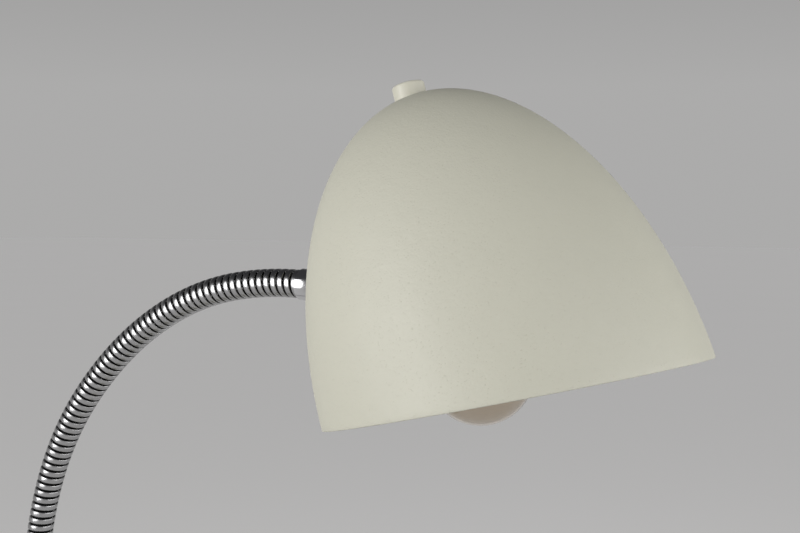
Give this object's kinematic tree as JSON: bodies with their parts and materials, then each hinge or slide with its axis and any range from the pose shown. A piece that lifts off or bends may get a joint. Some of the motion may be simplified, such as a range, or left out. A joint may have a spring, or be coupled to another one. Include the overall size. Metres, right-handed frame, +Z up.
{
  "type": "gooseneck desk lamp",
  "caption": "Desk lamp with a round weighted base, a stay-put gooseneck, a half-egg lacquered shade and a push-button on its crown.",
  "frame": {"origin": "middle of the base's underside, where the pad rests on the desk", "axes": "+Z up; +X forwards, the way the head leans out; the lamp's plane of symmetry is Y = 0"},
  "size_m": [0.4287, 0.16, 0.4111],
  "materials": {
    "cream_lacquer": "gloss lacquer",
    "cream_button": "gloss",
    "chrome_tube": "bright chrome plate",
    "zinc_steel": "zinc plated",
    "cast_iron": "as cast, painted",
    "felt": "pressed felt",
    "black_rubber": "matt",
    "black_moulding": "moulded, satin",
    "brass": "bright",
    "bulb_glass": "clear",
    "black_glass": "opaque",
    "solder": "soldered",
    "tungsten": "drawn wire"
  },
  "bodies": {
    "base": {"base_pad": "felt", "base_plate": "zinc_steel", "plate_screws": "zinc_steel", "base_weight": "cast_iron", "base_cover": "cream_lacquer", "cord_bush": "black_rubber", "cord_clamp": "zinc_steel", "clamp_screws": "zinc_steel", "earth_screw": "brass", "foot_fitting": "zinc_steel", "foot_ferrule": "chrome_tube", "foot_washer": "zinc_steel", "foot_nut": "zinc_steel", "neck_link_01": "chrome_tube"},
    "neck_02": {"neck_link_02": "chrome_tube"},
    "neck_03": {"neck_link_03": "chrome_tube"},
    "neck_04": {"neck_link_04": "chrome_tube"},
    "neck_05": {"neck_link_05": "chrome_tube"},
    "neck_06": {"neck_link_06": "chrome_tube"},
    "neck_07": {"neck_link_07": "chrome_tube"},
    "neck_08": {"neck_link_08": "chrome_tube"},
    "neck_09": {"neck_link_09": "chrome_tube"},
    "head": {"neck_link_10": "chrome_tube", "head_fitting": "zinc_steel", "head_ferrule": "chrome_tube", "head_saddle": "zinc_steel", "head_bracket": "zinc_steel", "head_washer": "zinc_steel", "head_nut": "zinc_steel", "shade": "cream_lacquer", "switch_housing": "black_moulding", "switch_insert": "black_moulding", "switch_contacts": "brass", "terminal_screws": "brass", "return_spring": "zinc_steel", "holder_body": "black_moulding", "holder_ring": "black_moulding", "screw_shell": "brass", "centre_contact": "brass", "bulb_contact": "solder", "bulb_insulator": "black_glass", "bulb_cap": "brass", "bulb_glass": "bulb_glass", "bulb_stem": "bulb_glass", "filament": "tungsten"},
    "button": {"push_button": "cream_button", "plunger": "black_moulding", "moving_contact": "brass"}
  },
  "joints": [
    {"name": "neck_bend_1", "type": "hinge", "parent": "base", "child": "neck_02", "pos_m": [0, 0, 0.0805], "axis": [0, 1, 0], "range_deg": [-25, 8]},
    {"name": "neck_sway_2", "type": "hinge", "parent": "neck_02", "child": "neck_03", "pos_m": [0, 0, 0.1185], "axis": [-1, 0, 0], "range_deg": [-15, 15]},
    {"name": "neck_bend_3", "type": "hinge", "parent": "neck_03", "child": "neck_04", "pos_m": [0.0004, 0, 0.1565], "axis": [0, 1, 0], "range_deg": [-25, 8]},
    {"name": "neck_sway_4", "type": "hinge", "parent": "neck_04", "child": "neck_05", "pos_m": [0.00407, 0, 0.19428], "axis": [-0.9851, 0, 0.1719], "range_deg": [-15, 15]},
    {"name": "neck_bend_5", "type": "hinge", "parent": "neck_05", "child": "neck_06", "pos_m": [0.01481, 0, 0.23065], "axis": [0, 1, 0], "range_deg": [-25, 8]},
    {"name": "neck_sway_6", "type": "hinge", "parent": "neck_06", "child": "neck_07", "pos_m": [0.03401, 0, 0.26331], "axis": [-0.7891, 0, 0.6143], "range_deg": [-15, 15]},
    {"name": "neck_bend_7", "type": "hinge", "parent": "neck_07", "child": "neck_08", "pos_m": [0.06038, 0, 0.29057], "axis": [0, 1, 0], "range_deg": [-25, 8]},
    {"name": "neck_sway_8", "type": "hinge", "parent": "neck_08", "child": "neck_09", "pos_m": [0.09224, 0, 0.31111], "axis": [-0.4352, 0, 0.9003], "range_deg": [-15, 15]},
    {"name": "neck_bend_9", "type": "hinge", "parent": "neck_09", "child": "head", "pos_m": [0.12837, 0, 0.32243], "axis": [0, 1, 0], "range_deg": [-25, 8]},
    {"name": "button_press", "type": "slide", "parent": "head", "child": "button", "axis": [0.2813, 0, -0.9596], "range_m": [0, 0.0025], "stiffness_N_per_m": 600, "springref_m": -0.0015, "deforming": ["return_spring"]}
  ]
}
